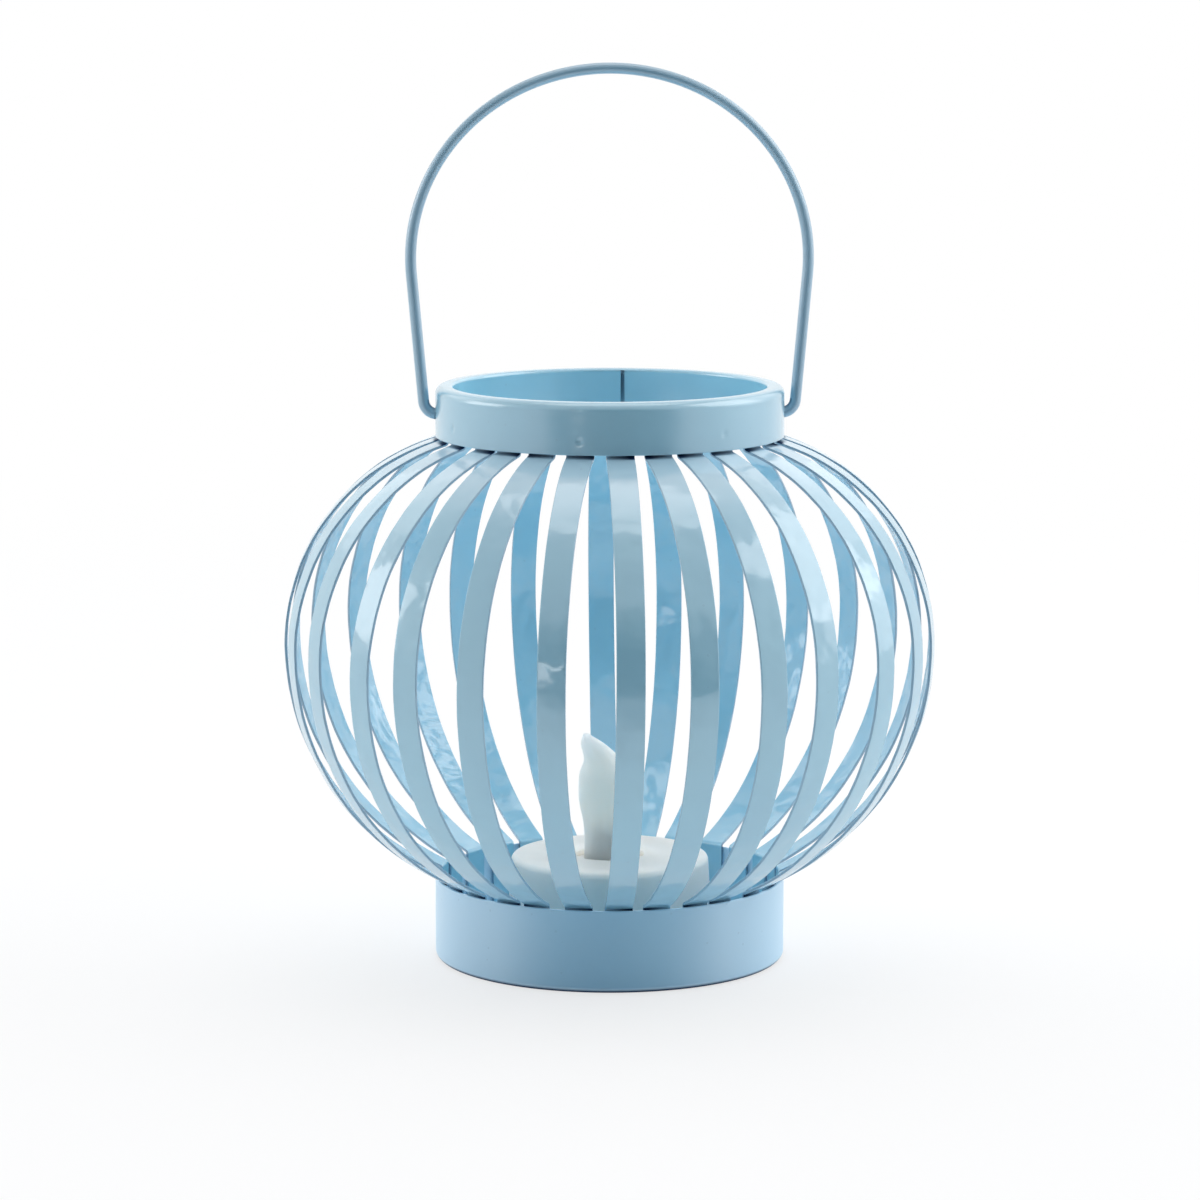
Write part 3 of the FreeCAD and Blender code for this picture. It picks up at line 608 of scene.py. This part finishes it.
# The bail is the carrying handle: one length of round wire bent to a slightly flattened arch, with two
# straight legs that lean in on a tangent and an end turned in through the collar. It was painted before
# it was sprung in, and its pins turn bare in their holes.
wire = 1.95 * mm
bail_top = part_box("bail_handle")[1].z
arch_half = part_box("bail_handle")[1].x - wire / 2
arch_flatness = 0.95
foot_standoff = 1.8 * mm
foot_bend = 2.4 * mm
pin_inside = 1.2 * mm
pin_end_ring = 0.8
wire_columns = 28
wire_tones = ((119, 169, 197), (127, 176, 203))
# How the painted shade wraps the inner side of the wire low down.
bend_shade_slope = 2.0
bend_shade_start = 1.2


def bail_line():
    """Places on X and Z along the middle of the wire from the -X end to the +X end: half is a pin, a foot
    bend, a leg and half the arch, and the other half mirrors it. The arch is part of an ellipse, and the
    leg is its tangent through the foot, worked out where the ellipse is drawn out to a circle."""
    foot = np.array((collar_radius + foot_standoff, pivot_height))
    centre = np.array((0, bail_top - wire / 2 - arch_flatness * arch_half))
    drawn_out = np.array((1, 1 / arch_flatness))
    away = (foot - centre) * drawn_out
    spring = math.atan2(away[1], away[0]) + math.acos(arch_half / math.hypot(*away))
    arch = centre + bend((0, 0), arch_half, math.degrees(spring), 90, 80) / drawn_out
    leg = (arch[0] - foot) / math.hypot(*(arch[0] - foot))
    half_turn = math.acos(-leg[0]) / 2
    setback = foot_bend / math.tan(half_turn)
    bend_end = 90 - 2 * math.degrees(half_turn)
    half = np.vstack((
        run((bore_radius - pin_inside, pivot_height), (foot[0] - setback, pivot_height), 10),
        bend((foot[0] - setback, pivot_height + foot_bend), foot_bend, -90, bend_end, 14),
        run(foot + leg * setback, arch[0], 24),
        arch,
    ))
    crown = (0, bail_top - wire / 2)
    return np.vstack((half * (-1, 1), [crown], half[::-1]))


def with_ends(rows):
    """Rows along a wire with the first and the last given three times, for the flat of a cut end."""
    return np.concatenate((rows[:1], rows[:1], rows, rows[-1:], rows[-1:]))


# The wire's round section is carried along its line, with the flat of each cut end closed to its middle.
wire_line = bail_line()
wire_along = np.gradient(wire_line, axis=0)
wire_along = wire_along / np.hypot(*wire_along.T)[:, None]
wire_out = with_ends(np.column_stack((-wire_along[:, 1], wire_along[:, 0])))
wire_line = with_ends(wire_line)
wire_full = np.ones((len(wire_line), 1))
wire_full[[0, -1]] = 0
wire_full[[1, -2]] = pin_end_ring
wire_turn = round_steps(wire_columns)
wire_r = wire / 2 * wire_full
wire_points = np.dstack(np.broadcast_arrays(
    wire_line[:, :1] + wire_out[:, :1] * wire_r * np.cos(wire_turn),
    wire_r * np.sin(wire_turn),
    wire_line[:, 1:] + wire_out[:, 1:] * wire_r * np.cos(wire_turn),
))
in_hole = (np.abs(wire_line[:, :1]) < collar_radius) * np.ones(wire_columns)
in_hole = in_hole * (wire_line[:, 1:] < pivot_height + wire)
# The inner side of the wire below the tops of the foot bends is painted dark navy as shade beside the
# collar; the pins inside the holes are bare.
wire_bend_shade = np.clip(-bend_shade_slope * np.cos(wire_turn) - bend_shade_start, 0, 1)
wire_bend_shade = wire_bend_shade * (wire_line[:, 1:] < pivot_height + foot_bend)
bail = skin("bail_wire", wire_points, marks={"shade_and_bare": np.maximum(in_hole, wire_bend_shade)})
bail_enamel = enamel(
    "enamel_wire", roughness=0.36, coat_roughness=0.3, peel=0.15, wave=0.02 * mm, tones=wire_tones
)
finished(bail, bail_enamel, "handle", "blue_paint", "bail_handle")

# The tealight's shell is a white moulded cup, open below, with a drawn-in wall, a rounded shoulder, a
# shallow dished top like set wax, and a well in the middle that the flame is pressed into.
shell_low, shell_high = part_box("tealight_shell")
shell_foot = shell_high.x
shell_top = 17.4 * mm
shell_wall = 1.0 * mm
shell_lid = 1.2 * mm
shell_shoulder = 1.05 * mm
shell_dish = 0.35 * mm
shell_lip = 0.3 * mm
well_radius = 6.0 * mm
well_depth = 1.0 * mm
led_hole = 2.65 * mm
foot_round = 0.3 * mm
shell_columns = 160
shell_tones = ((246, 241, 234), (240, 235, 228))
dish_margin = 0.1 * mm
mould_cloud = 90.0
mould_rough = 0.06
mould_depth = 0.02 * mm


def moulded(name, tones, roughness, scale, texture, glow, sink=2.0 * mm):
    """Moulded plastic: two near tones in slow clouds, a fine texture and light that sinks in."""
    material, tree, surface, place = new_surface(name)
    cloud = noise(tree, place, mould_cloud, detail=4.0)
    grain = noise(tree, place, scale, detail=2.0)
    tone = spread(tree, cloud, *noise_middle, 0.0, 1.0)
    rough = spread(tree, grain, *noise_range, roughness - mould_rough, roughness + mould_rough)
    bump = shader_node(tree, "Bump", {"Strength": texture, "Distance": mould_depth, "Height": grain})
    tree.links.new(mixed(tree, tone, *map(colour, tones)), surface["Base Color"])
    tree.links.new(rough, surface["Roughness"])
    tree.links.new(bump["Normal"], surface["Normal"])
    surface["Subsurface Weight"].default_value = glow
    surface["Subsurface Radius"].default_value = (1.0, 1.0, 1.0)
    surface["Subsurface Scale"].default_value = sink
    return material


def shell_at(height, inset=0.0):
    """The shell's radius at a height above its foot, on an even slope from foot to top, less the inset of a
    face inside its wall."""
    return shell_foot + (shell_top - shell_foot) * height / (shell_high.z - shell_low.z) - inset


lid_under = shell_high.z - shell_lid
well_floor = shell_high.z - well_depth
well_under = well_floor - shell_lid
boss = well_radius + shell_wall
shoulder_out = shell_at(shell_high.z - shell_low.z - shell_shoulder)
shoulder_in = shoulder_out - shell_shoulder
shoulder_low = shell_high.z - shell_shoulder
foot_in = (shell_at(0, shell_wall), shell_low.z)
lid_in = (shell_at(lid_under - shell_low.z, shell_wall), lid_under)
shell_profile = np.vstack((
    run(foot_in, (shell_foot - foot_round, shell_low.z), 4),
    bend((shell_foot - foot_round, shell_low.z + foot_round), foot_round, -90, 0, 5),
    run((shell_at(foot_round), shell_low.z + foot_round), (shoulder_out, shoulder_low), 24),
    bend((shoulder_in, shoulder_low), shell_shoulder, 0, 90, 10),
    run((shoulder_in, shell_high.z), (well_radius + shell_lip, shell_high.z), 24),
    bend((well_radius + shell_lip, shell_high.z - shell_lip), shell_lip, 90, 180, 6),
    run((well_radius, shell_high.z - shell_lip), (well_radius, well_floor), 6),
    run((well_radius, well_floor), (led_hole, well_floor), 6),
    run((led_hole, well_floor), (led_hole, well_under), 4),
    run((led_hole, well_under), (boss, well_under), 4),
    run((boss, well_under), (boss, lid_under), 4),
    run((boss, lid_under), lid_in, 6),
    run(lid_in, foot_in, 10),
))
shell_r, shell_z = shell_profile[:, :1], shell_profile[:, 1:]
# The top sinks by a squared sine between its shoulder and its well.
dish_share = np.clip((shoulder_in - shell_r) / (shoulder_in - well_radius), 0, 1)
on_top = (shell_z > well_floor + dish_margin) & (shell_r < shoulder_in)
shell_z = shell_z - on_top * shell_dish * np.sin(np.pi * dish_share) ** 2
shell = skin("tealight_cup", spun(shell_r, shell_z, round_steps(shell_columns)), rows_close=True)
shell_plastic = moulded(
    "white_plastic_shell", shell_tones, roughness=0.42, scale=1400.0, texture=0.12, glow=1.0, sink=1.5 * mm
)
finished(shell, shell_plastic, "tealight", "white_plastic", "tealight_shell")

# The flame is moulded in milky plastic, hollow below for the diode, thick and round at the waist and
# drawn out to a tip that curls to one side. It is pressed into the shell's well.
flame_sections = np.array((
    (0.0, 0.0, 4.6),
    (4.8, 0.0, 4.5),
    (7.9, 0.0, 4.9),
    (9.7, 0.0, 5.3),
    (11.5, 0.05, 5.45),
    (13.3, 0.25, 5.25),
    (16.0, 0.7, 4.5),
    (17.8, 1.15, 3.45),
    (19.4, 2.07, 2.73),
    (21.1, 3.25, 1.85),
    (22.2, 4.0, 0.8),
)) * mm
flame_depth = 0.86
flame_tip_round = 0.5 * mm
flame_tip_slant = 0.3
flame_columns = 72
flame_rows = 72
flame_tip_rows = 9
flame_tones = ((248, 242, 232), (244, 238, 228))
hollow_height_and_radius = ((1, 0), (0.85, 0.9), (0.5, 1), (0, 1))
led_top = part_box("led_bulb")[1].z
led_room = 0.3 * mm


def curve_through(heights, values, at):
    """A natural cubic curve through values at rising heights, read at other heights: its second
    derivatives solve the usual equations of equal slope at each inner point."""
    gap = np.diff(heights)
    slope = np.diff(values) / gap
    inner = np.diag(2 * (gap[:-1] + gap[1:])) + np.diag(gap[1:-1], 1) + np.diag(gap[1:-1], -1)
    second = np.concatenate(([0], np.linalg.solve(inner, 6 * np.diff(slope)), [0]))
    span = np.clip(np.searchsorted(heights, at) - 1, 0, len(gap) - 1)
    right = (at - heights[span]) / gap[span]
    left = 1 - right
    curl = (left ** 3 - left) * second[span] + (right ** 3 - right) * second[span + 1]
    return left * values[span] + right * values[span + 1] + gap[span] ** 2 / 6 * curl


# The flame's rows run from the roof of its hollow down to its foot, then up the outside and over the tip.
# Each is an ellipse, moved sideways by the flame's lean.
flame_height = np.linspace(0, flame_sections[-1, 0], flame_rows)
flame_lean = curve_through(flame_sections[:, 0], flame_sections[:, 1], flame_height)
flame_half = curve_through(flame_sections[:, 0], flame_sections[:, 2], flame_height)
tip = np.sin(np.radians(np.linspace(0, 90, flame_tip_rows)))[1:]
tip_height = flame_height[-1] + flame_tip_round * tip
tip_lean = flame_lean[-1] + flame_tip_slant * flame_tip_round * tip
tip_half = flame_half[-1] * np.sqrt(np.clip(1 - tip ** 2, 0, 1))
hollow = np.array(hollow_height_and_radius)
hollow_height = (led_top + led_room - well_floor) * hollow[:, 0]
flame_rise = np.concatenate((hollow_height, flame_height, tip_height))[:, None]
flame_shift = np.concatenate((np.zeros(len(hollow)), flame_lean, tip_lean))[:, None]
flame_wide = np.concatenate((led_hole * hollow[:, 1], flame_half, tip_half))[:, None]
flame_deep = np.where(np.arange(len(flame_wide)) < len(hollow), 1.0, flame_depth)[:, None] * flame_wide
flame_turn = round_steps(flame_columns)
flame_points = np.dstack(np.broadcast_arrays(
    flame_wide * np.cos(flame_turn) - flame_shift,
    flame_deep * np.sin(flame_turn),
    well_floor + flame_rise,
))
flame = skin("flame_moulded", flame_points)
flame_plastic = moulded(
    "flame_plastic_milky", flame_tones, roughness=0.34, scale=900.0, texture=0.1, glow=1.0, sink=8.0 * mm
)
finished(flame, flame_plastic, "tealight", "flame_plastic", "flame_lens")

# The works of the tealight stay as the CAD made them: the plate that closes it, the twist cap with its
# coin cell, the diode on its leads, two spring contacts and the slide switch that bridges them.
cap_tones = ((218, 220, 219), (204, 208, 209))
switch_tones = ((38, 39, 41), (29, 30, 32))
cell_tones = ((196, 197, 194), (172, 174, 173))
tin_tones = ((188, 189, 188), (165, 167, 168))
spring_tones = ((184, 182, 174), (156, 155, 149))
bridge_tones = ((178, 176, 169), (152, 151, 146))
scratch_rough = (-0.08, 0.1)
scratch_strength = 0.15
scratch_depth = 0.01 * mm
resin_tones = ((247, 240, 222), (250, 245, 232))
resin_cloud = 400.0
resin_rough = (0.08, 0.16)
resin_clear = 0.6
resin_ior = 1.53


def drawn_metal(name, tones, roughness, scale, stretch):
    """Drawn or rolled bare metal: fine scratches that run one way, in a tone between two greys."""
    material, tree, surface, place = new_surface(name)
    way = shader_node(tree, "Mapping", {"Vector": place, "Scale": stretch})["Vector"]
    scratch = noise(tree, way, scale, detail=4.0)
    rough = spread(tree, scratch, *noise_range, *np.add(roughness, scratch_rough).tolist())
    scratched = {"Strength": scratch_strength, "Distance": scratch_depth, "Height": scratch}
    tree.links.new(mixed(tree, scratch, *map(colour, tones)), surface["Base Color"])
    tree.links.new(rough, surface["Roughness"])
    tree.links.new(shader_node(tree, "Bump", scratched)["Normal"], surface["Normal"])
    surface["Metallic"].default_value = 1.0
    return material


def cast_resin(name, tones):
    """Clear cast resin with a warm tint that clouds slightly from place to place."""
    material, tree, surface, place = new_surface(name)
    cloud = noise(tree, place, resin_cloud, detail=3.0)
    tree.links.new(mixed(tree, cloud, *map(colour, tones)), surface["Base Color"])
    tree.links.new(spread(tree, cloud, *noise_range, *resin_rough), surface["Roughness"])
    surface["Transmission Weight"].default_value = resin_clear
    surface["IOR"].default_value = resin_ior
    return material


works_finish = {
    "tealight_base_plate": moulded(
        "white_plastic_plate", shell_tones, roughness=0.5, scale=1100.0, texture=0.2, glow=0.1
    ),
    "battery_cap": moulded(
        "white_plastic_cap", cap_tones, roughness=0.48, scale=1300.0, texture=0.25, glow=0.1
    ),
    "coin_cell": drawn_metal(
        "cell_can", cell_tones, roughness=0.26, scale=900.0, stretch=(1.0, 6.0, 1.0)
    ),
    "led_bulb": cast_resin("diode_resin", resin_tones),
    "led_leads": drawn_metal(
        "tinned_leads", tin_tones, roughness=0.36, scale=1500.0, stretch=(1.0, 1.0, 0.2)
    ),
    "contact_minus": drawn_metal(
        "spring_minus", spring_tones, roughness=0.3, scale=1200.0, stretch=(0.2, 1.0, 1.0)
    ),
    "contact_plus": drawn_metal(
        "spring_plus", spring_tones, roughness=0.3, scale=1200.0, stretch=(1.0, 0.2, 1.0)
    ),
    "switch_bridge": drawn_metal(
        "spring_bridge", bridge_tones, roughness=0.32, scale=1400.0, stretch=(0.2, 1.0, 1.0)
    ),
    "switch_slider": moulded(
        "black_plastic_switch", switch_tones, roughness=0.46, scale=1500.0, texture=0.25, glow=0.0
    ),
}
for name, material in works_finish.items():
    works_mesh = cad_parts[name].data
    works_mesh.materials.clear()
    works_mesh.materials.append(material)

# The studio: a pale floor that fades into a white room, soft lamps at each side, overhead and behind, a
# small one in front for a spark on the strips, and a camera a little higher than the bail, turned
# slightly down.
floor_reach = 6.0
floor_drop = 0.03 * mm
floor_white = (240, 241, 243)
floor_rough = 0.9
floor_shine = 0.1
floor_fade = 0.7
floor_fade_starts = 0.2
floor_fade_ends = 0.7
floor_dim = (-0.35, -0.05)
floor_dim_slope = 0.8
room_front = 0.15
room_back = 1.9
room_turn = (-0.8, 0.1)
room_forward = (0.0, -0.99, -0.14)
front_dark = 0.05
front_edge = (0.62, 0.95)
plain_white = (1.0, 1.0, 1.0, 1.0)
camera_turn = math.radians(-2.7)
camera_aim = math.radians(-2.574)
camera_away = 0.7814
camera_height = 0.1840
camera_pitch = math.radians(8.764)
camera_lens = 134.9
camera_sensor = 36.0


def seen_directly(tree):
    """Two numbers for a ray. The first is one for camera, mirror and glass rays, which see the white room,
    and nought for the light in it. The second is one for camera rays alone."""
    path = shader_node(tree, "LightPath")
    seen = worked_out(tree, "MAXIMUM", path["Is Camera Ray"], path["Is Glossy Ray"])
    return worked_out(tree, "MAXIMUM", seen, path["Is Transmission Ray"]), path["Is Camera Ray"]


# The floor shows white to rays that see the room, and fully so further off. In front it is dark in the
# paint's reflections, as the room is.
floor_mesh = bpy.data.meshes.new("studio_floor")
floor_square = np.array(((-1, -1), (1, -1), (1, 1), (-1, 1))) * floor_reach
floor_corners = np.column_stack((floor_square, np.full(4, -floor_drop)))
floor_mesh.from_pydata(floor_corners.tolist(), [], [(0, 1, 2, 3)])
floor = bpy.data.objects.new("studio_floor", floor_mesh)
scene.collection.objects.link(floor)
floor_material, tree, surface, place = new_surface("floor_pale")
surface["Base Color"].default_value = colour(floor_white)
surface["Roughness"].default_value = floor_rough
surface["Specular IOR Level"].default_value = floor_shine
seen, in_camera = seen_directly(tree)
away = shader_node(tree, "VectorMath", {0: place}, operation="LENGTH")["Value"]
fade = spread(tree, away, floor_fade_starts, floor_fade_ends, floor_fade, 1.0)
fade = worked_out(tree, "MULTIPLY", seen, fade)
reach = shader_node(tree, "SeparateXYZ", {"Vector": place})
sideways = worked_out(tree, "ABSOLUTE", reach["X"])
before = worked_out(tree, "MULTIPLY_ADD", sideways, floor_dim_slope, reach["Y"])
dim = spread(tree, before, *floor_dim, front_dark, 1.0)
bright = worked_out(tree, "MAXIMUM", dim, in_camera)
white = shader_node(tree, "Emission", {"Color": plain_white, "Strength": bright})[0]
pale = tree.nodes["Principled BSDF"].outputs[0]
blend = shader_node(tree, "MixShader", {0: fade, 1: pale, 2: white})[0]
tree.links.new(blend, tree.nodes["Material Output"].inputs["Surface"])
floor_mesh.materials.append(floor_material)

# The room is white to the camera, dark in front to reflections, and gives more of its light from behind.
room = bpy.data.worlds.new("white_room")
scene.world = room
room.use_nodes = True
tree = room.node_tree
seen, in_camera = seen_directly(tree)
ways = {0: shader_node(tree, "TexCoord")["Generated"], 1: room_forward}
ahead = shader_node(tree, "VectorMath", ways, operation="DOT_PRODUCT")["Value"]
front_light = spread(tree, ahead, *front_edge, 1.0, front_dark)
reflected = worked_out(tree, "MAXIMUM", front_light, in_camera)
ambient = spread(tree, ahead, *room_turn, room_back, room_front)
level = shader_node(tree, "Mix", {0: seen, 2: ambient, 3: reflected}, data_type="FLOAT")[0]
tree.links.new(level, tree.nodes["Background"].inputs["Strength"])
tree.nodes["Background"].inputs["Color"].default_value = plain_white


def soft_lamp(name, away, azimuth, elevation, width, height, radiance):
    """A rectangular lamp that faces the lantern from a distance, an azimuth from -Y towards +X and an
    elevation, in degrees. Its power is its radiance times its area times pi."""
    lamp = bpy.data.lights.new(name, "AREA")
    lamp.shape = "RECTANGLE"
    lamp.size, lamp.size_y = width, height
    lamp.energy = radiance * math.pi * width * height
    holder = bpy.data.objects.new(name, lamp)
    scene.collection.objects.link(holder)
    turn, tilt = math.radians(azimuth), math.radians(elevation)
    level_away = away * math.cos(tilt)
    holder.location = (level_away * math.sin(turn), -level_away * math.cos(turn), away * math.sin(tilt))
    holder.rotation_euler = (math.pi / 2 - tilt, 0, turn)
    holder.visible_camera = False


soft_lamp("lamp_right", away=1.2, azimuth=90, elevation=37, width=0.9, height=0.85, radiance=1.7)
soft_lamp("lamp_right_low", away=1.2, azimuth=97, elevation=12, width=0.8, height=0.5, radiance=0.8)
soft_lamp("lamp_left", away=1.2, azimuth=-95, elevation=20, width=0.68, height=0.56, radiance=1.95)
soft_lamp("lamp_above", away=1.2, azimuth=180, elevation=86, width=0.9, height=0.6, radiance=1.1)
soft_lamp("lamp_front", away=1.2, azimuth=-23, elevation=4.5, width=0.17, height=0.15, radiance=2.4)
soft_lamp("lamp_behind_right", away=1.6, azimuth=140, elevation=34, width=1.0, height=0.8, radiance=0.5)
soft_lamp("lamp_behind_left", away=1.6, azimuth=-140, elevation=34, width=1.0, height=0.8, radiance=0.5)

lens = bpy.data.cameras.new("camera")
lens.lens = camera_lens
lens.sensor_width = camera_sensor
camera = bpy.data.objects.new("camera", lens)
scene.collection.objects.link(camera)
camera.location = (
    camera_away * math.sin(camera_turn),
    -camera_away * math.cos(camera_turn),
    camera_height,
)
camera.rotation_euler = (math.pi / 2 - camera_pitch, 0, camera_aim)
scene.camera = camera
scene.view_settings.view_transform = "Standard"
